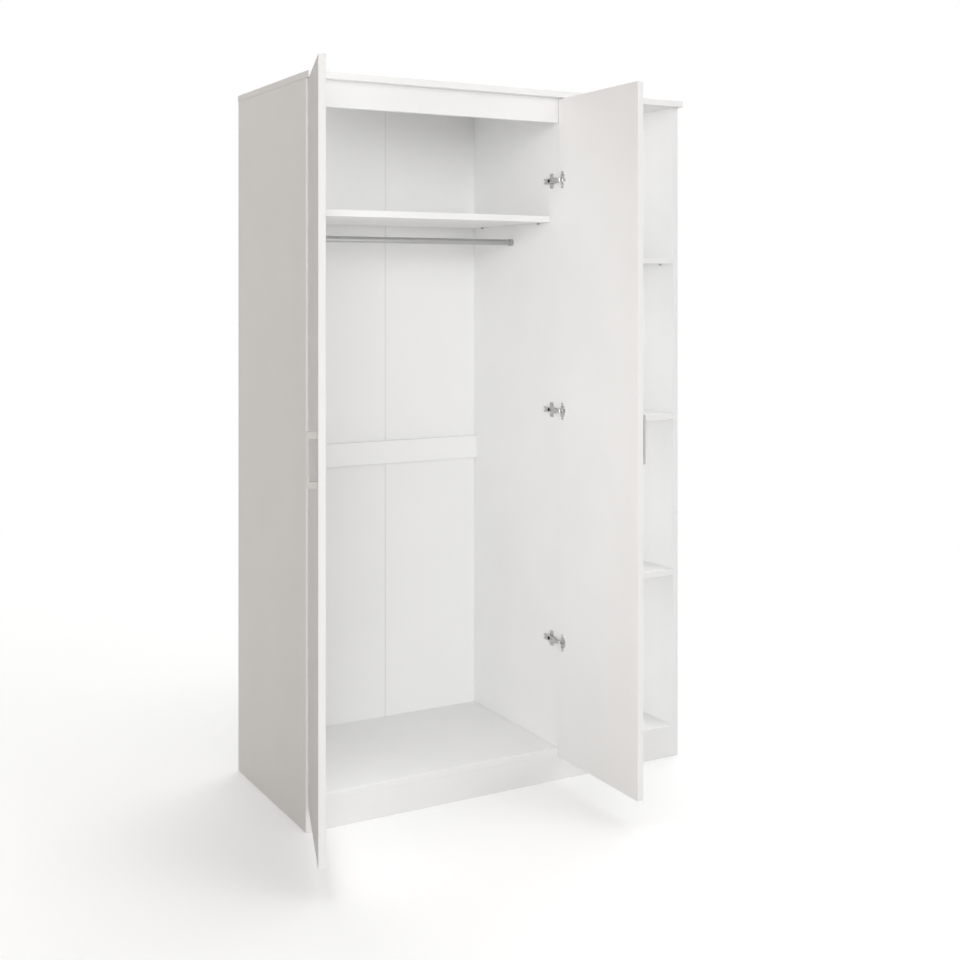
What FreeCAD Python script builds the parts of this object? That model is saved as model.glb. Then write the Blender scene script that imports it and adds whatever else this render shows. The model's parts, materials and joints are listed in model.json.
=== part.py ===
"""Two-door wardrobe with an open shelf bay at its right-hand end.

Frame: +X to the right seen from the front, +Y to the back, +Z up. The origin lies on the floor, at the
middle of the carcass's width, in the plane of the carcass's front edges. Lengths are in millimetres and
angles in degrees. The doors are drawn open: the left one near its stop, the right one about square to
the front.
"""
import FreeCAD, Part

import math
import os
import re

import Sketcher

SIZES = {
    # Carcass boards
    "carcass_width": 1220.0,
    "carcass_depth": 530.0,
    "side_height": 1982.0,
    "board": 18.0,
    "edge_break": 0.6,
    "top_front_overhang": 24.0,
    "top_side_overhang": 1.5,
    "plinth_height": 75.0,
    "bay_width": 396.0,
    "fascia_height": 71.0,
    "hat_space_height": 340.0,
    "hat_shelf_setback": 48.0,
    "shelf_play": 0.5,
    "shelf_rear_play": 1.5,
    "back_rail_low": 885.0,
    "back_rail_height": 70.0,
    # Hardboard back, held in grooves of the side panels
    "back_thickness": 3.0,
    "back_inset": 19.0,
    "groove_depth": 6.0,
    "groove_play": 0.2,
    "back_seam": 476.0,
    "strip_width": 14.0,
    "strip_flange": 1.2,
    "strip_web": 1.6,
    # Hanging rail
    "rail_diameter": 18.0,
    "rail_wall": 1.2,
    "rail_drop": 53.0,
    "rail_setback": 268.0,
    "rail_play": 0.1,
    "socket_wall": 1.6,
    "socket_length": 12.0,
    # Shelf pins
    "shelf_pin_diameter": 5.0,
    "shelf_pin_sunk": 9.0,
    "shelf_pin_proud": 8.0,
    "shelf_pin_inset": 60.0,
    "shelf_pin_play": 0.05,
    "shelf_pin_sides": 12,
    # Doors
    "door_thickness": 18.0,
    "door_reveal": 4.0,
    "door_gap": 4.0,
    "door_middle_gap": 3.0,
    "door_top_gap": 3.0,
    "door_bottom": 70.0,
    "left_opening": 108.7,
    "right_opening": 89.0,
    # Hinges
    "hinge_above_door_foot": 334.0,
    "hinge_below_door_head": 235.0,
    "pin_edge": 8.5,
    "pin_depth": 8.5,
    "pin_diameter": 3.0,
    "pin_seat_play": 0.02,
    "pin_end_play": 0.1,
    "pin_play": 0.05,
    "cup_diameter": 34.8,
    "cup_bore_play": 0.1,
    "cup_edge": 3.1,
    "cup_depth": 12.5,
    "cup_bore_floor_play": 0.2,
    "cup_floor": 0.8,
    "cup_wall": 0.8,
    "cheek_reach": 5.0,
    "cheek_gap": 9.8,
    "flange_thickness": 1.2,
    "flange_width": 16.0,
    "flange_height": 52.0,
    "flange_corner": 4.0,
    "neck_width": 9.0,
    "neck_thickness": 2.4,
    "neck_reach": 14.0,
    "neck_bend": 4.0,
    "eye_wall": 1.3,
    "arm_width": 15.0,
    "arm_front": 6.0,
    "arm_rear": 68.0,
    "arm_skirt": 4.0,
    "arm_skirt_wall": 1.5,
    "arm_skirt_front": 14.0,
    "arm_fork_width": 6.0,
    "arm_fork_length": 22.0,
    "plate_line": 37.0,
    "plate_thickness": 2.5,
    "plate_front": 18.0,
    "plate_rear": 66.0,
    "plate_spine": 13.0,
    "wing_width": 17.0,
    "wing_span": 44.0,
    "wing_round": 5.0,
    "block_play": 0.2,
    # Handles
    "handle_length": 134.0,
    "handle_leg": 16.0,
    "handle_grip": 6.0,
    "handle_reach": 26.0,
    "handle_width": 12.0,
    "handle_edge": 32.0,
    "handle_round": 5.0,
    "handle_inner_round": 2.0,
    # Cuts run this far past the face that they open
    "overrun": 1.0,
}

# Two coordinates closer than this are taken as one
SAME = 0.01

doc = FreeCAD.newDocument("wardrobe")
parts = {}


def make_sheet():
    """Writes every driving dimension to a spreadsheet cell that carries its name."""
    sheet = doc.addObject("Spreadsheet::Sheet", "sizes")
    for row, (name, value) in enumerate(SIZES.items(), start=1):
        cell = f"A{row}"
        sheet.set(cell, str(value))
        sheet.setAlias(cell, name)
    doc.recompute()


def formula(text):
    """Turns a sum of size names into an expression on the sheet's cells."""
    return re.sub(r"[a-z_]{4,}", lambda found: f"sizes.{found.group()}" if found.group() in SIZES
                  else found.group(), str(text))


def bind(target, settings):
    """Binds properties of an object to sums of sizes."""
    for name, text in settings.items():
        target.setExpression(name, formula(text))


def place(target, x="0", y="0", z="0", turn=None):
    """Puts an object at a point, turned about the vertical through that point."""
    bind(target, {"Placement.Base.x": x, "Placement.Base.y": y, "Placement.Base.z": z})
    if turn is not None:
        bind(target, {"Placement.Rotation.Angle": turn})


def new_body(name):
    """Adds a body with its label and registers it as a piece of the wardrobe."""
    body = doc.addObject("PartDesign::Body", name)
    body.Label = name
    parts[name] = body
    return body


def make_group(name, members):
    """Registers several like solids as one piece of the wardrobe."""
    group = doc.addObject("Part::Compound", name)
    group.Links = members
    group.Label = name
    parts[name] = group


def sketch_on(body, plane, level):
    """Adds a sketch parallel to one of the body's planes, at a level along that plane's axis."""
    support = next(f for f in body.Origin.OriginFeatures if f.Role == f"{plane}_Plane")
    sketch = body.newObject("Sketcher::SketchObject", "Sketch")
    sketch.AttachmentSupport = [(support, "")]
    sketch.MapMode = "FlatFace"
    normal = "-1" if plane == "XZ" else "1"
    bind(sketch, {"AttachmentOffset.Base.z": f"{normal} * ({level})"})
    return sketch


def fix_point(sketch, geometry, vertex, x, y):
    """Ties one point of a sketch to its distances from the sketch's origin."""
    for kind, text in (("DistanceX", x), ("DistanceY", y)):
        index = sketch.addConstraint(Sketcher.Constraint(kind, -1, 1, geometry, vertex, 1.0))
        bind(sketch, {f"Constraints[{index}]": text})


def draw_polygon(sketch, points):
    """Draws a closed polygon whose corners are sums of sizes."""
    count = len(points)
    first = sketch.GeometryCount
    ring = [FreeCAD.Vector(math.cos(math.tau * i / count), math.sin(math.tau * i / count), 0)
            for i in range(count)]
    for i in range(count):
        sketch.addGeometry(Part.LineSegment(ring[i], ring[(i + 1) % count]), False)
    for i in range(count):
        sketch.addConstraint(Sketcher.Constraint("Coincident", first + i, 2, first + (i + 1) % count, 1))
    for i, (x, y) in enumerate(points):
        fix_point(sketch, first + i, 1, x, y)


def draw_circle(sketch, x, y, radius):
    """Draws a circle whose centre and radius are sums of sizes."""
    index = sketch.addGeometry(Part.Circle(FreeCAD.Vector(), Z_AXIS, 1.0), False)
    fix_point(sketch, index, 3, x, y)
    size = sketch.addConstraint(Sketcher.Constraint("Radius", index, 1.0))
    bind(sketch, {f"Constraints[{size}]": radius})


def rectangle(x_low, x_high, y_low, y_high):
    """Corners of a rectangle."""
    return [(x_low, y_low), (x_high, y_low), (x_high, y_high), (x_low, y_high)]


def cut_rectangle(x_low, x_high, y_low, y_high, cut):
    """Corners of a rectangle whose own corners are cut off at 45 degrees."""
    return [(f"{x_low} + {cut}", y_low), (f"{x_high} - {cut}", y_low), (x_high, f"{y_low} + {cut}"),
            (x_high, f"{y_high} - {cut}"), (f"{x_high} - {cut}", y_high), (f"{x_low} + {cut}", y_high),
            (x_low, f"{y_high} - {cut}"), (x_low, f"{y_low} + {cut}")]


def ring(x, y, radius, sides):
    """Corners of a regular polygon about a point."""
    turns = [math.tau * i / size_of(sides) for i in range(int(size_of(sides)))]
    return [(f"{x} + {math.cos(turn):.6f} * ({radius})", f"{y} + {math.sin(turn):.6f} * ({radius})")
            for turn in turns]


def draw(sketch, outlines):
    """Draws outlines: a list of corners is a polygon, a tuple is a circle."""
    for outline in outlines:
        if isinstance(outline, tuple):
            draw_circle(sketch, *outline)
        else:
            draw_polygon(sketch, outline)


def add(body, plane, low, high, *outlines):
    """Adds material inside the outlines, from one level to another along the plane's axis."""
    sketch = sketch_on(body, plane, high if plane == "XZ" else low)
    draw(sketch, outlines)
    pad = body.newObject("PartDesign::Pad", "Pad")
    pad.Profile = sketch
    bind(pad, {"Length": f"({high}) - ({low})"})


def remove(body, plane, low, high, *outlines):
    """Cuts away what lies inside the outlines, from one level to another along the plane's axis."""
    sketch = sketch_on(body, plane, low if plane == "XZ" else high)
    draw(sketch, outlines)
    pocket = body.newObject("PartDesign::Pocket", "Pocket")
    pocket.Profile = sketch
    bind(pocket, {"Length": f"({high}) - ({low})"})


def ease_edges(body, size="edge_break"):
    """Takes the sharpness off every edge that the body has so far."""
    doc.recompute()
    base = body.Tip
    chamfer = body.newObject("PartDesign::Chamfer", "Chamfer")
    chamfer.Base = (base, [""])
    chamfer.UseAllEdges = True
    bind(chamfer, {"Size": size})


def round_edges(body, radius, wanted):
    """Rounds the edges whose middle point and direction pass a test."""
    doc.recompute()
    base = body.Tip
    names = []
    for number, edge in enumerate(base.Shape.Edges, start=1):
        middle = edge.valueAt((edge.FirstParameter + edge.LastParameter) / 2)
        if wanted(middle, edge):
            names.append(f"Edge{number}")
    fillet = body.newObject("PartDesign::Fillet", "Fillet")
    fillet.Base = (base, names)
    bind(fillet, {"Radius": radius})


def size_of(name):
    """Value of a driving dimension."""
    return doc.sizes.get(name)


def along(edge, axis):
    """Whether a straight edge runs along an axis."""
    return edge.Curve.TypeId == "Part::GeomLine" and abs(edge.Curve.Direction.dot(axis)) > 1 - SAME


X_AXIS = FreeCAD.Vector(1, 0, 0)
Z_AXIS = FreeCAD.Vector(0, 0, 1)


# Levels and places that several pieces share
LEFT = "(-carcass_width / 2)"
RIGHT = "(carcass_width / 2)"
LEFT_INNER = f"({LEFT} + board)"
RIGHT_INNER = f"({RIGHT} - board)"
PARTITION_RIGHT = f"({RIGHT_INNER} - bay_width)"
PARTITION_LEFT = f"({PARTITION_RIGHT} - board)"
FLOOR_TOP = "(plinth_height + board)"
BACK_FACE = "(carcass_depth - back_inset - back_thickness)"
DOOR_WIDTH = f"(({PARTITION_RIGHT} - {LEFT} - 2 * door_reveal - door_middle_gap) / 2)"
DOOR_TOP = "(side_height - door_top_gap)"
DOOR_MIDDLE = f"((door_bottom + {DOOR_TOP}) / 2)"
LEVELS = ("lower", "middle", "upper")
# The bay shelves share the height between the bottom and the top evenly
BAY_STEP = f"((side_height - {FLOOR_TOP} - {len(LEVELS)} * board) / {len(LEVELS) + 1} + board)"
BAY_SHELF_TOPS = {level: f"({FLOOR_TOP} + {i} * {BAY_STEP})" for i, level in enumerate(LEVELS, start=1)}
HAT_SHELF_TOP = "(side_height - hat_space_height)"
RAIL_HEIGHT = f"({HAT_SHELF_TOP} - board - rail_drop)"
LOWEST_HINGE = "(door_bottom + hinge_above_door_foot)"
HIGHEST_HINGE = f"({DOOR_TOP} - hinge_below_door_head)"
HINGE_HEIGHTS = {
    "lower": LOWEST_HINGE,
    "middle": f"(({LOWEST_HINGE} + {HIGHEST_HINGE}) / 2)",
    "upper": HIGHEST_HINGE,
}
# Hinge pins, measured from the outer face of the board that carries the hinge and from the carcass's front
PIN_INSET = "(door_reveal + pin_edge)"
PIN_Y = "(-door_gap - pin_depth)"
# A pin ends a wall's thickness short of the cup's round side, where that side is nearest
PIN_OFFSET = "(cup_edge + cup_diameter / 2 - pin_edge + pin_diameter / 2)"
PIN_LENGTH = f"(2 * sqrt((cup_diameter / 2)^2 - {PIN_OFFSET}^2) - 2 * cup_wall)"
# Each door: the side it is hinged on, as the sign of the way to its free edge, its pin and its opening
DOORS = {
    "left": {"hand": 1, "pin_x": f"({LEFT} + {PIN_INSET})", "turn": "-left_opening",
             "board_face": LEFT_INNER},
    "right": {"hand": -1, "pin_x": f"({PARTITION_RIGHT} - {PIN_INSET})", "turn": "right_opening",
              "board_face": PARTITION_LEFT},
}


def board(name, x_low, x_high, y_low, y_high, z_low, z_high, eased=True):
    """A board drawn from its low corner, with eased edges where it is banded all round."""
    body = new_body(name)
    add(body, "XY", "0", f"({z_high}) - ({z_low})",
        rectangle("0", f"({x_high}) - ({x_low})", "0", f"({y_high}) - ({y_low})"))
    if eased:
        ease_edges(body)
    place(body, x_low, y_low, z_low)
    return body


def cut_groove(body, x_low, x_high):
    """Cuts the groove for the back panels over a side panel's whole height above its plinth."""
    y_low = f"{BACK_FACE} - groove_play"
    y_high = f"{BACK_FACE} + back_thickness + groove_play"
    remove(body, "XY", "plinth_height - groove_play", "side_height + overrun",
           rectangle(x_low, x_high, y_low, y_high))


def cut_pin_holes(body, x_low, x_high, shelves):
    """Drills the shelf pins' holes, two to a shelf, between two levels of X."""
    holes = []
    for shelf_top, y_front in shelves:
        for y in pin_rows(y_front):
            holes.append(ring(y, f"{shelf_top} - board - shelf_pin_diameter / 2",
                              "shelf_pin_diameter / 2 + shelf_pin_play", "shelf_pin_sides"))
    remove(body, "YZ", x_low, x_high, *holes)


def pin_rows(y_front):
    """Front and rear places of a shelf's pins."""
    return f"{y_front} + shelf_pin_inset", f"{BACK_FACE} - shelf_pin_inset"


HAT_SHELVES = [(HAT_SHELF_TOP, "hat_shelf_setback")]
BAY_SHELVES = [(top, "0") for top in BAY_SHELF_TOPS.values()]
SUNK = "(shelf_pin_sunk + shelf_pin_play)"


def make_uprights():
    """Side panels and partition, with the grooves and holes that they need."""
    left = board("left_side_panel", LEFT, LEFT_INNER, "0", "carcass_depth", "0", "side_height")
    cut_groove(left, "board - groove_depth", "board + overrun")
    cut_pin_holes(left, f"board - {SUNK}", "board + overrun", HAT_SHELVES)
    right = board("right_side_panel", RIGHT_INNER, RIGHT, "0", "carcass_depth", "0", "side_height")
    cut_groove(right, "-overrun", "groove_depth")
    cut_pin_holes(right, "-overrun", SUNK, BAY_SHELVES)
    partition = board("partition_panel", PARTITION_LEFT, PARTITION_RIGHT, "0", BACK_FACE,
                      FLOOR_TOP, "side_height")
    lift = [(f"{top} - {FLOOR_TOP}", front) for top, front in HAT_SHELVES]
    cut_pin_holes(partition, "-overrun", SUNK, lift)
    lift = [(f"{top} - {FLOOR_TOP}", front) for top, front in BAY_SHELVES]
    cut_pin_holes(partition, f"board - {SUNK}", "board + overrun", lift)


def make_boards():
    """Top, bottom, plinth, fascia, shelves and back rail."""
    board("top_panel", f"{LEFT} - top_side_overhang", f"{RIGHT} + top_side_overhang",
          "-top_front_overhang", "carcass_depth", "side_height", "side_height + board")
    board("bottom_panel", LEFT_INNER, RIGHT_INNER, "0", BACK_FACE, "plinth_height", FLOOR_TOP)
    board("front_plinth", LEFT_INNER, RIGHT_INNER, "0", "board", "0", "plinth_height", eased=False)
    board("rear_plinth", LEFT_INNER, RIGHT_INNER, f"{BACK_FACE} - board", BACK_FACE,
          "0", "plinth_height", eased=False)
    board("plinth_brace", PARTITION_LEFT, PARTITION_RIGHT, "board", f"{BACK_FACE} - board",
          "0", "plinth_height", eased=False)
    board("top_fascia", LEFT_INNER, PARTITION_LEFT, "0", "board",
          "side_height - fascia_height", "side_height")
    board("hat_shelf", f"{LEFT_INNER} + shelf_play", f"{PARTITION_LEFT} - shelf_play",
          "hat_shelf_setback", f"{BACK_FACE} - shelf_rear_play", f"{HAT_SHELF_TOP} - board", HAT_SHELF_TOP)
    for place_name, top in BAY_SHELF_TOPS.items():
        board(f"bay_{place_name}_shelf", f"{PARTITION_RIGHT} + shelf_play", f"{RIGHT_INNER} - shelf_play",
              "0", f"{BACK_FACE} - shelf_rear_play", f"{top} - board", top)
    board("back_rail", LEFT_INNER, PARTITION_LEFT, f"{BACK_FACE} - board", BACK_FACE,
          "back_rail_low", "back_rail_low + back_rail_height")


def make_back():
    """Two hardboard panels and the strip that joins them."""
    seam = f"({LEFT} + back_seam)"
    low, high = "plinth_height", "side_height - groove_play"
    edge = "(groove_depth - groove_play)"
    spans = {
        "back_panel_left": (f"{LEFT_INNER} - {edge}", f"{seam} - strip_web / 2 - groove_play"),
        "back_panel_right": (f"{seam} + strip_web / 2 + groove_play", f"{RIGHT_INNER} + {edge}"),
    }
    for name, (x_low, x_high) in spans.items():
        body = new_body(name)
        add(body, "XY", low, high, rectangle(x_low, x_high, BACK_FACE, f"{BACK_FACE} + back_thickness"))
    strip = new_body("back_joint_strip")
    front = f"{BACK_FACE} - strip_flange"
    rear = f"{BACK_FACE} + back_thickness + strip_flange"
    half, web = "strip_width / 2", "strip_web / 2"
    spans = [(FLOOR_TOP, "back_rail_low"), ("back_rail_low + back_rail_height", "side_height - groove_play")]
    add(strip, "XY", low, high,
        rectangle(f"{seam} - {web}", f"{seam} + {web}", BACK_FACE, rear))
    add(strip, "XY", low, high,
        rectangle(f"{seam} - {half}", f"{seam} + {half}", f"{BACK_FACE} + back_thickness", rear))
    for z_low, z_high in spans:
        add(strip, "XY", z_low, z_high,
            rectangle(f"{seam} - {half}", f"{seam} + {half}", front, BACK_FACE))


def make_rail():
    """Hanging rail, a tube held at both ends in a socket."""
    centre = ("rail_setback", RAIL_HEIGHT)
    socket_radius = "rail_diameter / 2 + rail_play + socket_wall"
    rail = new_body("hanging_rail")
    add(rail, "YZ", f"{LEFT_INNER} + socket_wall + rail_play", f"{PARTITION_LEFT} - socket_wall - rail_play",
        (*centre, "rail_diameter / 2"), (*centre, "rail_diameter / 2 - rail_wall"))
    ends = [
        (LEFT_INNER, f"{LEFT_INNER} + socket_length",
         f"{LEFT_INNER} + socket_wall", f"{LEFT_INNER} + socket_length + overrun"),
        (f"{PARTITION_LEFT} - socket_length", PARTITION_LEFT,
         f"{PARTITION_LEFT} - socket_length - overrun", f"{PARTITION_LEFT} - socket_wall"),
    ]
    sockets = []
    for low, high, bore_low, bore_high in ends:
        socket = doc.addObject("PartDesign::Body", "rail_socket")
        add(socket, "YZ", low, high, (*centre, socket_radius))
        remove(socket, "YZ", bore_low, bore_high, (*centre, "rail_diameter / 2 + rail_play"))
        sockets.append(socket)
    make_group("rail_sockets", sockets)


def make_shelf_pins():
    """Pins that carry the hat shelf and the bay shelves, as one group."""
    pins = []
    reach = "shelf_pin_sunk + shelf_pin_proud"
    walls = [
        (f"{LEFT_INNER} - shelf_pin_sunk", HAT_SHELVES),
        (f"{PARTITION_LEFT} - shelf_pin_proud", HAT_SHELVES),
        (f"{PARTITION_RIGHT} - shelf_pin_sunk", BAY_SHELVES),
        (f"{RIGHT_INNER} - shelf_pin_proud", BAY_SHELVES),
    ]
    for x, shelves in walls:
        for shelf_top, y_front in shelves:
            for y in pin_rows(y_front):
                pin = doc.addObject("Part::Prism", "shelf_pin")
                bind(pin, {"Polygon": "shelf_pin_sides", "Circumradius": "shelf_pin_diameter / 2",
                           "Height": reach})
                pin.Placement.Rotation = FreeCAD.Rotation(Z_AXIS, X_AXIS)
                place(pin, x, y, f"{shelf_top} - board - shelf_pin_diameter / 2")
                pins.append(pin)
    make_group("shelf_pins", pins)


def hinge_points(hand, points):
    """Points of a hinge outline, mirrored for the hand of the door."""
    return [(f"{hand} * ({x})", y) for x, y in points]


def make_arm(side, level):
    """Hinge arm: a bent strip from the pin's eye to a channel that straddles the mounting plate."""
    door = DOORS[side]
    hand = door["hand"]
    arm = new_body(f"{side}_{level}_hinge_arm")
    near, far = "neck_reach - neck_thickness / 2", "neck_reach + neck_thickness / 2"
    rear = f"arm_rear - {PIN_Y}"
    half = "neck_thickness / 2"
    neck = [("0", f"-{half}"), (far, f"-{half}"), (far, rear), (near, rear), (near, half), ("0", half)]
    add(arm, "XY", "-neck_width / 2", "neck_width / 2", hinge_points(hand, neck))
    # The bend is round on its outside and on its inside
    for sign, radius in ((1, "neck_bend + neck_thickness"), (-1, "neck_bend")):
        half_strip = sign * size_of("neck_thickness") / 2
        corner = FreeCAD.Vector(hand * (size_of("neck_reach") + half_strip), -half_strip, 0)
        round_edges(arm, radius, lambda middle, edge: middle.distanceToPoint(corner) < SAME)
    add(arm, "XY", "-neck_width / 2", "neck_width / 2", ("0", "0", "pin_diameter / 2 + eye_wall"))
    front = f"arm_front - {PIN_Y}"
    web = rectangle(near, far, front, rear)
    add(arm, "XY", "-arm_width / 2", "arm_width / 2", hinge_points(hand, web))
    skirt = rectangle(f"{near} - arm_skirt", near, f"arm_skirt_front - {PIN_Y}", rear)
    for low, high in (("-arm_width / 2", "-arm_width / 2 + arm_skirt_wall"),
                      ("arm_width / 2 - arm_skirt_wall", "arm_width / 2")):
        add(arm, "XY", low, high, hinge_points(hand, skirt))
    remove(arm, "XY", "-neck_width / 2 - overrun", "neck_width / 2 + overrun",
           ("0", "0", "pin_diameter / 2 + pin_play"))
    fork = rectangle(f"{near} - overrun", f"{far} + overrun", f"{rear} - arm_fork_length",
                     f"{rear} + overrun")
    remove(arm, "XY", "-arm_fork_width / 2", "arm_fork_width / 2", hinge_points(hand, fork))
    place(arm, door["pin_x"], PIN_Y, HINGE_HEIGHTS[level])


def make_plate(side, level):
    """Winged mounting plate on the board's inner face, with the block that the arm straddles."""
    door = DOORS[side]
    hand = door["hand"]
    plate = new_body(f"{side}_{level}_hinge_plate")
    spine, wing = "plate_spine / 2", "wing_span / 2"
    front, rear = "plate_line - wing_width / 2", "plate_line + wing_width / 2"
    cross = [("plate_front", f"-{spine}"), (front, f"-{spine}"), (front, f"-{wing}"), (rear, f"-{wing}"),
             (rear, f"-{spine}"), ("plate_rear", f"-{spine}"), ("plate_rear", spine), (rear, spine),
             (rear, wing), (front, wing), (front, spine), ("plate_front", spine)]
    low, high = ("0", "plate_thickness") if hand > 0 else ("-plate_thickness", "0")
    add(plate, "YZ", low, high, cross)
    tip = size_of("wing_span") / 2
    round_edges(plate, "wing_round", lambda middle, edge: abs(abs(middle.z) - tip) < SAME
                and along(edge, X_AXIS))
    # The block fills the height between the plate and the underside of the arm's web
    underside = f"({PIN_INSET} - board + neck_reach - neck_thickness / 2)"
    half = "arm_width / 2 - arm_skirt_wall - block_play"
    low, high = ("plate_thickness", underside) if hand > 0 else (f"-{underside}", "-plate_thickness")
    add(plate, "YZ", low, high, rectangle("plate_front", "plate_rear", f"-({half})", half))
    place(plate, door["board_face"], "0", HINGE_HEIGHTS[level])


def make_cup(side, level):
    """Hinge cup: a round pot with a flange, and two cheeks that hold the pin beside the arm's neck."""
    door = DOORS[side]
    hand = door["hand"]
    cup = doc.addObject("PartDesign::Body", f"{side}_{level}_hinge_cup")
    centre = f"{hand} * (cup_edge + cup_diameter / 2 - pin_edge)"
    face = "pin_depth"
    rim = f"{face} + flange_thickness"
    add(cup, "XZ", f"{face} - cup_depth", face, (centre, "0", "cup_diameter / 2"))
    flange_low = f"{centre} - flange_width / 2"
    flange_high = f"{centre} + flange_width / 2"
    add(cup, "XZ", face, rim, cut_rectangle(flange_low, flange_high, "-flange_height / 2",
                                            "flange_height / 2", "flange_corner"))
    add(cup, "XZ", face, rim, (centre, "0", "cup_diameter / 2"))
    # The pot is hollow past the cheeks, and slotted between them so that the neck can swing
    hollow_cup(cup, centre, hand)
    slot = rectangle("-pin_edge", "cheek_reach + overrun", "-cheek_gap / 2", "cheek_gap / 2")
    remove(cup, "XZ", f"{face} - cup_depth + cup_floor", f"{rim} + overrun", hinge_points(hand, slot))
    remove(cup, "XY", f"-{PIN_LENGTH} / 2 - pin_end_play", f"{PIN_LENGTH} / 2 + pin_end_play",
           ("0", "0", "pin_diameter / 2 + pin_seat_play"))
    place(cup, door["pin_x"], PIN_Y, HINGE_HEIGHTS[level], door["turn"])
    return cup


def hollow_cup(cup, centre, hand):
    """Cuts the round hollow of a cup, from the cheeks to the far wall."""
    sketch = sketch_on(cup, "XZ", "pin_depth - cup_depth + cup_floor")
    radius = size_of("cup_diameter") / 2 - size_of("cup_wall")
    middle = hand * (size_of("cup_edge") + size_of("cup_diameter") / 2 - size_of("pin_edge"))
    chord = hand * size_of("cheek_reach")
    half = math.sqrt(radius ** 2 - (chord - middle) ** 2)
    ends = [FreeCAD.Vector(chord, -half, 0), FreeCAD.Vector(chord, half, 0)]
    far = FreeCAD.Vector(middle + hand * radius, 0, 0)
    arc = sketch.addGeometry(Part.Arc(ends[0], far, ends[1]), False)
    line = sketch.addGeometry(Part.LineSegment(ends[0], ends[1]), False)
    first, last = (1, 2) if hand > 0 else (2, 1)
    sketch.addConstraint(Sketcher.Constraint("Coincident", arc, first, line, 1))
    sketch.addConstraint(Sketcher.Constraint("Coincident", arc, last, line, 2))
    sketch.addConstraint(Sketcher.Constraint("Vertical", line))
    fix_point(sketch, arc, 3, centre, "0")
    size = sketch.addConstraint(Sketcher.Constraint("Radius", arc, radius))
    bind(sketch, {f"Constraints[{size}]": "cup_diameter / 2 - cup_wall"})
    reach = sketch.addConstraint(Sketcher.Constraint("DistanceX", -1, 1, line, 1, chord))
    bind(sketch, {f"Constraints[{reach}]": f"{hand} * cheek_reach"})
    pocket = cup.newObject("PartDesign::Pocket", "Pocket")
    pocket.Profile = sketch
    bind(pocket, {"Length": "cup_depth - cup_floor + flange_thickness + overrun"})


def make_pins(side):
    """Hinge pins of one door, held in the cheeks of its cups, as one group."""
    door = DOORS[side]
    pins = []
    for height in HINGE_HEIGHTS.values():
        pin = doc.addObject("Part::Cylinder", f"{side}_hinge_pin")
        bind(pin, {"Radius": "pin_diameter / 2", "Height": PIN_LENGTH})
        place(pin, door["pin_x"], PIN_Y, f"{height} - {PIN_LENGTH} / 2")
        pins.append(pin)
    make_group(f"{side}_hinge_pins", pins)


def make_door(side):
    """Door panel with the bores of its cups, drawn shut about its pin and turned to where it stands."""
    door = DOORS[side]
    hand = door["hand"]
    panel = new_body(f"{side}_door_panel")
    edges = rectangle("-pin_edge", f"{DOOR_WIDTH} - pin_edge", "pin_depth - door_thickness", "pin_depth")
    add(panel, "XY", "door_bottom", DOOR_TOP, hinge_points(hand, edges))
    ease_edges(panel)
    centre = f"{hand} * (cup_edge + cup_diameter / 2 - pin_edge)"
    bores = [(centre, height, "cup_diameter / 2 + cup_bore_play") for height in HINGE_HEIGHTS.values()]
    remove(panel, "XZ", "pin_depth - cup_depth - cup_bore_floor_play", "pin_depth + overrun", *bores)
    place(panel, door["pin_x"], PIN_Y, "0", door["turn"])


def make_handle(side):
    """Bow handle: two legs on the door's outer face and a flat grip between them."""
    door = DOORS[side]
    hand = door["hand"]
    handle = new_body(f"{side}_door_handle")
    outer = "pin_depth - door_thickness"
    tip = f"{outer} - handle_reach"
    low, high = f"{DOOR_MIDDLE} - handle_length / 2", f"{DOOR_MIDDLE} + handle_length / 2"
    bow = [(outer, low), (outer, f"{low} + handle_leg"), (f"{tip} + handle_grip", f"{low} + handle_leg"),
           (f"{tip} + handle_grip", f"{high} - handle_leg"), (outer, f"{high} - handle_leg"), (outer, high),
           (tip, high), (tip, low)]
    middle = f"({DOOR_WIDTH} - pin_edge - handle_edge)"
    near, far = f"{middle} - handle_width / 2", f"{middle} + handle_width / 2"
    x_low, x_high = (near, far) if hand > 0 else (f"-({far})", f"-({near})")
    add(handle, "YZ", x_low, x_high, bow)
    grip_y = size_of("pin_depth") - size_of("door_thickness") - size_of("handle_reach")
    inner_y = grip_y + size_of("handle_grip")
    for depth, radius in ((grip_y, "handle_round"), (inner_y, "handle_inner_round")):
        round_edges(handle, radius, lambda middle, edge: abs(middle.y - depth) < SAME
                    and along(edge, X_AXIS))
    place(handle, door["pin_x"], PIN_Y, "0", door["turn"])


def check_and_export():
    """Stops on any failed object, then writes each piece to its STEP file."""
    doc.recompute()
    for item in doc.Objects:
        if {"Invalid", "Error"} & set(item.State):
            owner = [parent.Label for parent in item.InList]
            raise RuntimeError(f"{item.Label} of {owner} failed: {item.State}")
    os.makedirs("parts", exist_ok=True)
    for name, piece in parts.items():
        shape = piece.Shape
        if shape.isNull() or not shape.isValid() or not shape.Solids:
            raise RuntimeError(f"{name} has no valid solid")
        shape.exportStep(os.path.join("parts", f"{name}.step"))
        print(f"{name}: {len(shape.Solids)} solid(s), {shape.Volume / 1000:.1f} cm3")
    print(f"{len(parts)} pieces written")


make_sheet()
make_uprights()
make_boards()
make_back()
make_rail()
make_shelf_pins()
for side_name in DOORS:
    make_door(side_name)
    make_handle(side_name)
    make_pins(side_name)
    make_group(f"{side_name}_hinge_cups", [make_cup(side_name, level_name) for level_name in LEVELS])
    for level_name in LEVELS:
        make_plate(side_name, level_name)
        make_arm(side_name, level_name)
check_and_export()
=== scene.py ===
"""White two-door wardrobe with an open shelf bay: finishes, hinge screws, floor, light and camera."""
import json
import math

import bmesh
import bpy
from mathutils import Matrix, Vector


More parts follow.
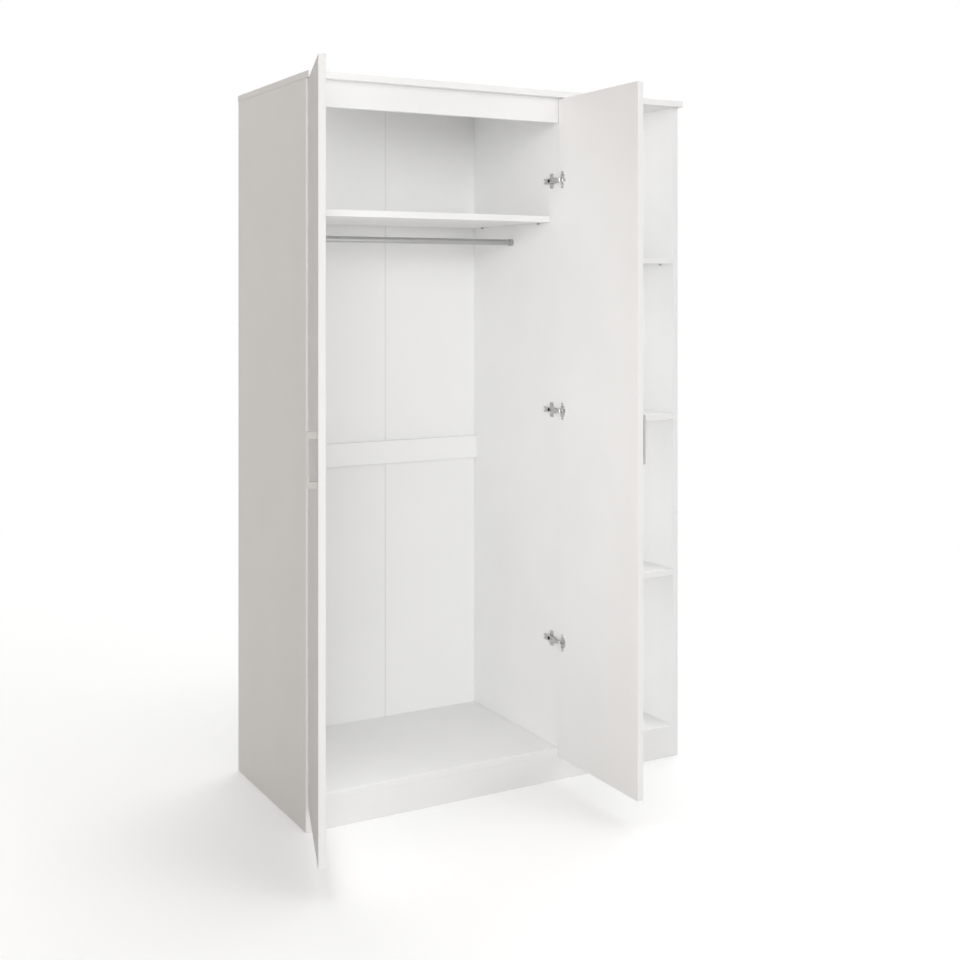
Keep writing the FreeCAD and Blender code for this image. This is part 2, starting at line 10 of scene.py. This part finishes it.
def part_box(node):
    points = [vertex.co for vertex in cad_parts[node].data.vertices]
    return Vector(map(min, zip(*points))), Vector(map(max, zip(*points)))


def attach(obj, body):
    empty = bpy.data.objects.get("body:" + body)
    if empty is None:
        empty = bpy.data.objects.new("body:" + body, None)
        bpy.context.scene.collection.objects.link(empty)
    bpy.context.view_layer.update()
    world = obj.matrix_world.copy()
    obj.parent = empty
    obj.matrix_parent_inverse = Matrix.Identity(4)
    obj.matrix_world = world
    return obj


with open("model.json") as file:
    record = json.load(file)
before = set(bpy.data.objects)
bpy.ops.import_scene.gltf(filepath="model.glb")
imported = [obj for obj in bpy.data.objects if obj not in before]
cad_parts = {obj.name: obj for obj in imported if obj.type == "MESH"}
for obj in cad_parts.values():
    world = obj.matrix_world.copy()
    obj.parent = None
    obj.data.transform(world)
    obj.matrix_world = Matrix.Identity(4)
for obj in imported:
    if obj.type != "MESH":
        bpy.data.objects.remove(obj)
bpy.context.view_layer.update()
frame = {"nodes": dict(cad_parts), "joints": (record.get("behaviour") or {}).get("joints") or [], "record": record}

# Camera: place in metres, turn in degrees, lens and sensor in millimetres
CAMERA_PLACE = Vector((-1.9467, -3.3160, 1.4295))
CAMERA_YAW = -29.3046
CAMERA_LENS = 50.665
CAMERA_SENSOR = 36.0
CAMERA_RISE_SHARE = -0.19963

WHITE = (1.0, 1.0, 1.0, 1.0)

# Light: shares of the light that turns a white surface fully white
FRONT_SKY_SHARE = 0.10
BACK_SKY_SHARE = 0.06
SKY_TURN_SHARES = (-0.6, 0.5)
NEUTRAL = (1.0, 1.0, 1.0)
WARM = (1.0, 0.86, 0.72)

# Distant lamps: degrees turned from the front towards the right, raised, and spread
LAMPS = {
    "front_lamp": {"from_right": -20.0, "elevation": 6.0, "share": 0.31, "spread": 30.0, "colour": NEUTRAL},
    "key_lamp": {"from_right": -40.0, "elevation": 8.0, "share": 0.16, "spread": 40.0, "colour": NEUTRAL},
    "left_lamp": {"from_right": -72.0, "elevation": 12.0, "share": 0.18, "spread": 50.0, "colour": WARM},
    "right_lamp": {"from_right": 40.0, "elevation": 30.0, "share": 0.20, "spread": 40.0, "colour": NEUTRAL},
    "top_lamp": {"from_right": 90.0, "elevation": 83.0, "share": 0.60, "spread": 58.0, "colour": NEUTRAL},
    "back_lamp": {"from_right": 140.0, "elevation": 48.0, "share": 0.25, "spread": 50.0, "colour": NEUTRAL},
}

# Soft boxes: the large one in front, and fills that lie just off a board or door
FRONT_BOX_PLACE = Vector((-0.9, -3.6, 1.15))
FRONT_BOX_SIZE = (4.2, 2.2)
FRONT_BOX_SHARE = 0.5
FILL_OFF = 0.006
FILL_DEPTH = 0.24
BAY_FILL_SHARE = 1.5
HAT_FILL_SHARE = 1.1
HANG_FILL_SHARE = 0.34
DOOR_FILL_SHARE = 0.7

# Floor: its own white, what it throws back, and the rings between which it fades to white
FLOOR_GLOW_SHARE = 0.22
FLOOR_BOUNCE = (0.42, 0.412, 0.402)
FLOOR_HALF_WIDTH = 30.0
FLOOR_DROP = 0.0005
FLOOR_FADE_START = 2.2
FLOOR_FADE_END = 5.0

# Depths of the finishes' reliefs, metres
PORE_DEPTH = 0.00006
RIPPLE_DEPTH = 0.00008
PEEL_DEPTH = 0.00008
DRAW_DEPTH = 0.00003
ROLL_DEPTH = 0.00002
BRUSH_DEPTH = 0.00003

# Strip between the backs, with painted shade of its groove along its left edge
STRIP_TONE = (0.882, 0.882, 0.880)
GROOVE_SHADE_TONE = (0.775, 0.775, 0.773)
GROOVE_SHADE_SHARE = 0.22
GROOVE_SHADE_EDGE_SHARE = 0.06

# Doors, and where the hinge cups and the inner face lie from the pin, metres
SIDES = ("left", "right")
LEVELS = ("lower", "middle", "upper")
DOOR_HAND = {"left": 1, "right": -1}
CUP_FROM_PIN = 0.0120
FACE_FROM_PIN = 0.0085
FLANGE_THICKNESS = 0.0012

# Hinge screws, metres; a head is bright, or black as painted shade of a screw hole
BRIGHT = 0
SHADE_BLACK = 1
SCREW_SEGMENTS = 24
SMALL_CROSS_SHARES = (0.56, 0.17)
LARGE_CROSS_SHARES = (0.62, 0.20)
WING_SCREW = {"radius": 0.0036, "height": 0.0016, "recess": 0.0011,
              "cross_shares": SMALL_CROSS_SHARES, "head": BRIGHT}
CUP_SCREW = {"radius": 0.0034, "height": 0.0007, "recess": 0.0006,
             "cross_shares": SMALL_CROSS_SHARES, "head": BRIGHT}
ARM_SCREW = {"radius": 0.0048, "height": 0.0018, "recess": 0.0016,
             "cross_shares": LARGE_CROSS_SHARES, "head": SHADE_BLACK}
WING_SCREW_DEPTH = 0.037
WING_SCREW_SPREAD = 0.0165
PLATE_THICKNESS = 0.0025
CUP_SCREW_SPREAD = 0.0212
ARM_FACE = 0.0097
FIXING_SCREW_DEPTH = 0.040
SETTING_SCREW_DEPTH = 0.024
CROWN_SHARE = 0.80
SHOULDER_SHARE = 0.45
CROSS_TAPER_SHARE = 0.55


# Node trees
class Tree:
    """A material's node tree, with short calls for the nodes that the finishes use."""

    def __init__(self, name):
        self.material = bpy.data.materials.new(name)
        self.material.use_nodes = True
        self.nodes = self.material.node_tree.nodes
        self.links = self.material.node_tree.links
        self.shader = self.nodes["Principled BSDF"]
        self.output = self.nodes["Material Output"]
        self.place = self.nodes.new("ShaderNodeTexCoord").outputs["Object"]

    def link(self, start, end):
        self.links.new(start, end)

    def scaled(self, stretch):
        """The object's coordinates, scaled along each axis."""
        mapping = self.nodes.new("ShaderNodeMapping")
        mapping.inputs["Scale"].default_value = stretch
        self.link(self.place, mapping.inputs["Vector"])
        return mapping.outputs["Vector"]

    def noise(self, waves, detail=2.0):
        """Noise with so many waves to the metre, alike along all axes or given for each."""
        node = self.nodes.new("ShaderNodeTexNoise")
        node.inputs["Detail"].default_value = detail
        if isinstance(waves, tuple):
            node.inputs["Scale"].default_value = 1.0
            self.link(self.scaled(waves), node.inputs["Vector"])
        else:
            node.inputs["Scale"].default_value = waves
            self.link(self.place, node.inputs["Vector"])
        return node.outputs["Fac"]

    def ramp(self, factor, low, high, start=0.3, end=0.7):
        """A colour that runs from one tone to another with a factor."""
        node = self.nodes.new("ShaderNodeValToRGB")
        first, last = node.color_ramp.elements
        first.position = start
        first.color = (*low, 1.0)
        last.position = end
        last.color = (*high, 1.0)
        self.link(factor, node.inputs["Fac"])
        return node.outputs["Color"]

    def span(self, factor, low, high, start=0.3, end=0.7):
        """A number that runs from one value to another with a factor."""
        node = self.nodes.new("ShaderNodeMapRange")
        node.inputs["From Min"].default_value = start
        node.inputs["From Max"].default_value = end
        node.inputs["To Min"].default_value = low
        node.inputs["To Max"].default_value = high
        self.link(factor, node.inputs["Value"])
        return node.outputs["Result"]

    def bump(self, height, depth, strength, under=None):
        """A relief of a given depth, over another one where that is given."""
        node = self.nodes.new("ShaderNodeBump")
        node.inputs["Strength"].default_value = strength
        node.inputs["Distance"].default_value = depth
        self.link(height, node.inputs["Height"])
        if under is not None:
            self.link(under, node.inputs["Normal"])
        return node.outputs["Normal"]

    def blend(self, factor, first, second):
        """A shader that runs from one to another with a factor."""
        node = self.nodes.new("ShaderNodeMixShader")
        self.link(factor, node.inputs["Fac"])
        self.link(first, node.inputs[1])
        self.link(second, node.inputs[2])
        return node.outputs["Shader"]

    def set(self, **values):
        """Sets sockets of the shader: numbers and colours directly, outputs by a link."""
        for name, value in values.items():
            socket = self.shader.inputs[name.replace("_", " ").title().replace("Ior", "IOR")]
            if isinstance(value, bpy.types.NodeSocket):
                self.link(value, socket)
            else:
                socket.default_value = value
        return self.material


# Finishes
def melamine():
    """White satin board: a faint cloud in the tone and a fine pressed pore."""
    tree = Tree("melamine")
    cloud = tree.noise(waves=5.0, detail=3.0)
    pores = tree.noise(waves=900.0, detail=1.0)
    ripple = tree.noise(waves=34.0)
    relief = tree.bump(pores, PORE_DEPTH, strength=0.5)
    return tree.set(
        base_color=tree.ramp(cloud, low=(0.885, 0.885, 0.883), high=(0.905, 0.905, 0.903)),
        roughness=tree.span(ripple, low=0.48, high=0.58),
        specular_ior_level=0.1,
        normal=tree.bump(ripple, RIPPLE_DEPTH, strength=0.3, under=relief),
    )


def hardboard():
    """White lacquered back: a slightly darker tone with a soft orange-peel relief."""
    tree = Tree("hardboard")
    cloud = tree.noise(waves=4.0, detail=3.0)
    peel = tree.noise(waves=420.0, detail=1.0)
    return tree.set(
        base_color=tree.ramp(cloud, low=(0.870, 0.870, 0.869), high=(0.890, 0.890, 0.889)),
        roughness=tree.span(peel, low=0.50, high=0.60),
        specular_ior_level=0.1,
        normal=tree.bump(peel, PEEL_DEPTH, strength=0.5),
    )


def strip_plastic():
    """White extruded plastic with faint draw lines along it, and painted shade of the groove along its left edge.
    """
    tree = Tree("strip_plastic")
    lines = tree.noise(waves=(1800.0, 1800.0, 6.0), detail=1.0)
    left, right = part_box("back_joint_strip")
    axes = tree.nodes.new("ShaderNodeSeparateXYZ")
    tree.link(tree.place, axes.inputs["Vector"])
    across = tree.span(axes.outputs["X"], low=0.0, high=1.0, start=left.x, end=right.x)
    groove_shade_end = GROOVE_SHADE_SHARE + GROOVE_SHADE_EDGE_SHARE
    return tree.set(
        # The darker band at the left edge is painted shade of the groove.
        base_color=tree.ramp(across, low=GROOVE_SHADE_TONE, high=STRIP_TONE, start=GROOVE_SHADE_SHARE, end=groove_shade_end),
        roughness=tree.span(lines, low=0.30, high=0.40),
        normal=tree.bump(lines, DRAW_DEPTH, strength=0.4),
    )


def chrome():
    """Bright chrome tube, polished round and drawn along X."""
    tree = Tree("rail_chrome")
    drawn = tree.noise(waves=(5.0, 900.0, 900.0))
    return tree.set(
        base_color=tree.ramp(drawn, low=(0.46, 0.462, 0.468), high=(0.53, 0.532, 0.538)),
        metallic=1.0,
        roughness=tree.span(drawn, low=0.07, high=0.13),
    )


def nickel(name, dark, light, smooth, rough):
    """Nickel-plated steel with fine rolling marks, between two tones and two degrees of roughness."""
    tree = Tree(name)
    marks = tree.noise(waves=(2200.0, 180.0, 2200.0))
    cloud = tree.noise(waves=120.0)
    return tree.set(
        base_color=tree.ramp(cloud, low=dark, high=light),
        metallic=1.0,
        roughness=tree.span(marks, low=smooth, high=rough),
        normal=tree.bump(marks, ROLL_DEPTH, strength=0.4),
    )


def brushed():
    """Satin handle metal, brushed along its length."""
    tree = Tree("handle_metal")
    grain = tree.noise(waves=(3200.0, 3200.0, 40.0), detail=3.0)
    return tree.set(
        base_color=tree.ramp(grain, low=(0.52, 0.510, 0.490), high=(0.59, 0.579, 0.557)),
        metallic=0.1,
        roughness=tree.span(grain, low=0.40, high=0.52),
        normal=tree.bump(grain, BRUSH_DEPTH, strength=0.5),
    )


def painted_shade_steel():
    """Near-black steel as painted shade: for a screw's cross recess, and for a whole screw that stands for a
    shaded screw hole.
    """
    tree = Tree("screw_recess_painted_shade")
    shade_cloud = tree.noise(waves=1500.0)
    return tree.set(
        base_color=tree.ramp(shade_cloud, low=(0.010, 0.010, 0.010), high=(0.030, 0.029, 0.028)),
        metallic=0.6,
        roughness=tree.span(shade_cloud, low=0.5, high=0.7),
    )


FINISHES = {
    "melamine": melamine(),
    "hardboard": hardboard(),
    "strip_plastic": strip_plastic(),
    "rail_chrome": chrome(),
    "hinge_metal": nickel("hinge_metal", dark=(0.52, 0.517, 0.51), light=(0.62, 0.616, 0.608),
                          smooth=0.26, rough=0.38),
    # The cups' nickel is a brighter copy of the hinge nickel: painted reflection of the white surroundings.
    "cup_metal_painted_bright": nickel("cup_metal_painted_bright", dark=(0.80, 0.80, 0.79), light=(0.88, 0.88, 0.87),
                        smooth=0.26, rough=0.36),
    "pin_metal": nickel("pin_metal", dark=(0.50, 0.50, 0.49), light=(0.58, 0.58, 0.57),
                        smooth=0.20, rough=0.30),
    "handle_metal": brushed(),
}
# The black finish is painted shade, for screw recesses and a shaded screw hole.
SCREW_FINISHES = {BRIGHT: FINISHES["hinge_metal"], SHADE_BLACK: painted_shade_steel()}


def dress_nodes():
    """Gives every node the finish of its slot, and the hinge cups a brighter copy of the hinge nickel as painted
    reflection.
    """
    for subpart in frame["record"]["subparts"]:
        name = subpart["node"]
        finish = "cup_metal_painted_bright" if name.endswith("_hinge_cups") else subpart["material_slot"]
        materials = frame["nodes"][name].data.materials
        materials.clear()
        materials.append(FINISHES[finish])


# Hinge screws
def cross_outline(reach, half):
    """Corners of a cross-shaped recess, counter-clockwise."""
    arm = [Vector((reach, -half, 0)), Vector((reach, half, 0)), Vector((half, half, 0))]
    corners = []
    for quarter in range(4):
        turn = Matrix.Rotation(quarter * math.pi / 2, 3, "Z")
        corners += [turn @ corner for corner in arm]
    return corners


def circle(radius):
    """Points of a circle, counter-clockwise."""
    turns = [2 * math.pi * step / SCREW_SEGMENTS for step in range(SCREW_SEGMENTS)]
    return [Vector((radius * math.cos(turn), radius * math.sin(turn), 0)) for turn in turns]


def add_ring(mesh, points, height, matrix):
    """Adds a closed ring of vertices at a height over the screw's seat."""
    rise = Vector((0, 0, height))
    return [mesh.verts.new(matrix @ (point + rise)) for point in points]


def join_rings(mesh, lower, upper, slot):
    """Joins two rings of equal count by a band of faces."""
    count = len(lower)
    for index in range(count):
        after = (index + 1) % count
        face = mesh.faces.new((lower[index], lower[after], upper[after], upper[index]))
        face.material_index = slot
        face.smooth = count == SCREW_SEGMENTS


def add_screw(mesh, matrix, radius, height, recess, cross_shares, head):
    """Adds one screw, bright or painted black as shade, with its cross recess painted black as shade.

    It is seated at the matrix's origin and faces the matrix's Z.
    """
    reach_share, half_share = cross_shares
    reach = radius * reach_share
    half = radius * half_share
    seat = add_ring(mesh, circle(radius), 0.0, matrix)
    shoulder = add_ring(mesh, circle(radius), height * SHOULDER_SHARE, matrix)
    crown = add_ring(mesh, circle(radius * CROWN_SHARE), height, matrix)
    rim = add_ring(mesh, cross_outline(reach, half), height, matrix)
    taper = CROSS_TAPER_SHARE
    pit = add_ring(mesh, cross_outline(reach * taper, half * taper), height - recess, matrix)
    mesh.faces.new(reversed(seat))
    join_rings(mesh, seat, shoulder, head)
    join_rings(mesh, shoulder, crown, head)
    # The cross recess is painted black as shade.
    join_rings(mesh, rim, pit, SHADE_BLACK)
    mesh.faces.new(pit).material_index = SHADE_BLACK
    edges = []
    for loop in (crown, rim):
        edges += [mesh.edges.get((loop[index - 1], loop[index])) for index in range(len(loop))]
    for part in bmesh.ops.triangle_fill(mesh, edges=edges, use_beauty=True)["geom"]:
        if isinstance(part, bmesh.types.BMFace):
            part.material_index = head


def facing(place, direction):
    """Matrix that puts a screw's seat at a place, facing a direction."""
    return Matrix.Translation(place) @ direction.to_track_quat("Z", "Y").to_matrix().to_4x4()


def screw_group(name, body, screws):
    """Makes one piece of several screws, given as pairs of a matrix and a screw's sizes."""
    mesh = bmesh.new()
    for matrix, sizes in screws:
        add_screw(mesh, matrix, **sizes)
    bmesh.ops.recalc_face_normals(mesh, faces=mesh.faces)
    data = bpy.data.meshes.new(name)
    mesh.to_mesh(data)
    mesh.free()
    for slot in sorted(SCREW_FINISHES):
        data.materials.append(SCREW_FINISHES[slot])
    piece = bpy.data.objects.new(name, data)
    bpy.context.scene.collection.objects.link(piece)
    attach(piece, body)


def hinge_heights(side):
    """Heights of a door's hinges, from its arms."""
    heights = []
    for level in LEVELS:
        low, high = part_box(f"{side}_{level}_hinge_arm")
        heights.append((low.z + high.z) / 2)
    return heights


def board_screws(side):
    """Screws of the mounting plates and arms, on the board that carries a door."""
    hand = DOOR_HAND[side]
    inward = Vector((hand, 0, 0))
    if side == "left":
        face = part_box("left_side_panel")[1].x
    else:
        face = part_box("partition_panel")[0].x
    screws = []
    for height in hinge_heights(side):
        for spread in (-WING_SCREW_SPREAD, WING_SCREW_SPREAD):
            seat = Vector((face + hand * PLATE_THICKNESS, WING_SCREW_DEPTH, height + spread))
            screws.append((facing(seat, inward), WING_SCREW))
        for depth, sizes in ((FIXING_SCREW_DEPTH, ARM_SCREW), (SETTING_SCREW_DEPTH, WING_SCREW)):
            seat = Vector((face + hand * ARM_FACE, depth, height))
            screws.append((facing(seat, inward), sizes))
    screw_group(f"{side}_hinge_plate_screws", "carcass", screws)


def door_matrix(side):
    """Matrix from a shut door, with its pin at the origin, to the door as it stands."""
    joint = next(entry for entry in frame["joints"] if entry["name"] == f"{side}_door_swing")
    pin = Vector(joint["pos_m"])
    shut = math.radians(max(joint["range_deg"], key=abs))
    return Matrix.Translation((pin.x, pin.y, 0)) @ Matrix.Rotation(-shut, 4, "Z")


def cup_screws(side):
    """Screws of the hinge cups, drawn on the shut door and turned with it."""
    door = door_matrix(side)
    screws = []
    for height in hinge_heights(side):
        for spread in (-CUP_SCREW_SPREAD, CUP_SCREW_SPREAD):
            across = DOOR_HAND[side] * CUP_FROM_PIN
            seat = Vector((across, FACE_FROM_PIN + FLANGE_THICKNESS, height + spread))
            screws.append((door @ facing(seat, Vector((0, 1, 0))), CUP_SCREW))
    screw_group(f"{side}_hinge_cup_screws", f"{side}_door", screws)


# Floor, light and camera
def seen(nodes, links):
    """Whether a ray is the eye's own, a mirror's or a pane's."""
    path = nodes.new("ShaderNodeLightPath")
    total = path.outputs["Is Camera Ray"]
    for name in ("Is Glossy Ray", "Is Transmission Ray"):
        either = nodes.new("ShaderNodeMath")
        either.operation = "MAXIMUM"
        links.new(total, either.inputs[0])
        links.new(path.outputs[name], either.inputs[1])
        total = either.outputs["Value"]
    return total


def floor_finish():
    """Pale matt floor that keeps the shadow, fades to white away from it and throws back less than half."""
    tree = Tree("floor")
    cloud = tree.noise(waves=0.8)
    tree.set(
        base_color=tree.ramp(cloud, low=(0.945, 0.945, 0.943), high=(0.955, 0.955, 0.953)),
        roughness=0.9,
        specular_ior_level=0.1,
    )
    distance = tree.nodes.new("ShaderNodeVectorMath")
    distance.operation = "LENGTH"
    tree.link(tree.place, distance.inputs[0])
    fade = tree.span(distance.outputs["Value"], low=FLOOR_GLOW_SHARE, high=1.0,
                     start=FLOOR_FADE_START, end=FLOOR_FADE_END)
    fade.node.interpolation_type = "SMOOTHSTEP"
    glow = tree.nodes.new("ShaderNodeEmission")
    glow.inputs["Color"].default_value = WHITE
    pale = tree.blend(fade, tree.shader.outputs["BSDF"], glow.outputs["Emission"])
    dull = tree.nodes.new("ShaderNodeBsdfDiffuse")
    dull.inputs["Color"].default_value = (*FLOOR_BOUNCE, 1.0)
    shown = tree.blend(seen(tree.nodes, tree.links), dull.outputs["BSDF"], pale)
    tree.link(shown, tree.output.inputs["Surface"])
    return tree.material


def make_floor():
    """A wide flat floor under the plinth."""
    half = FLOOR_HALF_WIDTH
    corners = [(-half, -half, 0), (half, -half, 0), (half, half, 0), (-half, half, 0)]
    data = bpy.data.meshes.new("floor")
    data.from_pydata(corners, [], [(0, 1, 2, 3)])
    data.materials.append(floor_finish())
    floor = bpy.data.objects.new("floor", data)
    floor.location.z = -FLOOR_DROP
    bpy.context.scene.collection.objects.link(floor)


def make_world():
    """Broad light, stronger in front than behind, over a background that is seen as white."""
    world = bpy.data.worlds.new("studio")
    world.use_nodes = True
    bpy.context.scene.world = world
    nodes = world.node_tree.nodes
    links = world.node_tree.links
    ambient = nodes["Background"]
    ambient.inputs["Color"].default_value = WHITE
    direction = nodes.new("ShaderNodeTexCoord").outputs["Generated"]
    axes = nodes.new("ShaderNodeSeparateXYZ")
    links.new(direction, axes.inputs["Vector"])
    turn = nodes.new("ShaderNodeMapRange")
    turn.interpolation_type = "SMOOTHSTEP"
    turn.inputs["From Min"].default_value = SKY_TURN_SHARES[0]
    turn.inputs["From Max"].default_value = SKY_TURN_SHARES[1]
    turn.inputs["To Min"].default_value = FRONT_SKY_SHARE
    turn.inputs["To Max"].default_value = BACK_SKY_SHARE
    links.new(axes.outputs["Y"], turn.inputs["Value"])
    links.new(turn.outputs["Result"], ambient.inputs["Strength"])
    white = nodes.new("ShaderNodeBackground")
    white.inputs["Color"].default_value = WHITE
    white.inputs["Strength"].default_value = 1.0
    blend = nodes.new("ShaderNodeMixShader")
    links.new(seen(nodes, links), blend.inputs["Fac"])
    links.new(ambient.outputs["Background"], blend.inputs[1])
    links.new(white.outputs["Background"], blend.inputs[2])
    links.new(blend.outputs["Shader"], nodes["World Output"].inputs["Surface"])


def add_lamp(name, light, place, towards):
    """Adds a lamp at a place, shining along a direction."""
    lamp = bpy.data.objects.new(name, light)
    lamp.location = place
    lamp.rotation_euler = towards.to_track_quat("-Z", "Y").to_euler()
    lamp.visible_camera = False
    bpy.context.scene.collection.objects.link(lamp)
    return lamp


def make_lamps():
    """Broad, distant lamps round the wardrobe."""
    for name, lamp in LAMPS.items():
        light = bpy.data.lights.new(name, "SUN")
        light.energy = lamp["share"] * math.pi
        light.angle = math.radians(lamp["spread"])
        light.color = lamp["colour"]
        turn = math.radians(lamp["from_right"])
        rise = math.radians(lamp["elevation"])
        place = Vector((math.sin(turn) * math.cos(rise), -math.cos(turn) * math.cos(rise), math.sin(rise)))
        add_lamp(name, light, place, -place)


def soft_box(name, place, towards, size, share):
    """A flat lamp that glows with a share of full white and isn't mirrored in metal."""
    light = bpy.data.lights.new(name, "AREA")
    light.shape = "RECTANGLE"
    width, height = size
    light.size = width
    light.size_y = height
    light.energy = share * math.pi * width * height
    lamp = add_lamp(name, light, place, towards)
    lamp.visible_glossy = False
    return lamp


def make_soft_boxes():
    """A wide soft box in front, and fills in the bay, over and under the hat shelf and on the left door."""
    soft_box("front_box", FRONT_BOX_PLACE, Vector((0, 1, 0)), FRONT_BOX_SIZE, FRONT_BOX_SHARE)
    board_fills()
    left_door_fill()


def board_fill(name, board, depths, heights, share):
    """A fill just off a board's right face, between two depths and two heights."""
    depth_start, depth_end = depths
    low, high = heights
    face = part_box(board)[1].x
    place = Vector((face + FILL_OFF, (depth_start + depth_end) / 2, (low + high) / 2))
    soft_box(name, place, Vector((1, 0, 0)), (depth_end - depth_start, high - low), share)


def board_fills():
    """Fills of the bay and of the spaces over and under the hat shelf."""
    bay_heights = (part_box("bottom_panel")[1].z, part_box("partition_panel")[1].z)
    board_fill("bay_fill", "partition_panel", (0.0, FILL_DEPTH), bay_heights, BAY_FILL_SHARE)
    shelf_low, shelf_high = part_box("hat_shelf")
    depths = (shelf_low.y, shelf_high.y)
    hat_heights = (shelf_high.z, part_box("top_fascia")[0].z)
    board_fill("hat_fill", "left_side_panel", depths, hat_heights, HAT_FILL_SHARE)
    hang_heights = (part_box("back_rail")[1].z, shelf_low.z)
    board_fill("hang_fill", "left_side_panel", depths, hang_heights, HANG_FILL_SHARE)


def left_door_fill():
    """A fill just off the left door's inner face, which swings with the door."""
    door = door_matrix("left")
    low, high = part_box("left_door_panel")
    width = (high - low).to_2d().length
    place = door @ Vector((width / 2, FACE_FROM_PIN + FILL_OFF, (low.z + high.z) / 2))
    inward = door.to_3x3() @ Vector((0, 1, 0))
    door_fill = soft_box("door_fill", place, inward, (width, high.z - low.z), DOOR_FILL_SHARE)
    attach(door_fill, "left_door")


def make_camera():
    """The photograph's own view: level, from the front left, with the frame shifted down."""
    data = bpy.data.cameras.new("camera")
    data.lens = CAMERA_LENS
    data.sensor_width = CAMERA_SENSOR
    data.shift_y = CAMERA_RISE_SHARE
    camera = bpy.data.objects.new("camera", data)
    camera.location = CAMERA_PLACE
    camera.rotation_euler = (math.pi / 2, 0.0, math.radians(CAMERA_YAW))
    bpy.context.scene.collection.objects.link(camera)
    bpy.context.scene.camera = camera


dress_nodes()
for door_side in SIDES:
    board_screws(door_side)
    cup_screws(door_side)
make_floor()
make_world()
make_lamps()
make_soft_boxes()
make_camera()
bpy.context.scene.view_settings.view_transform = "Standard"
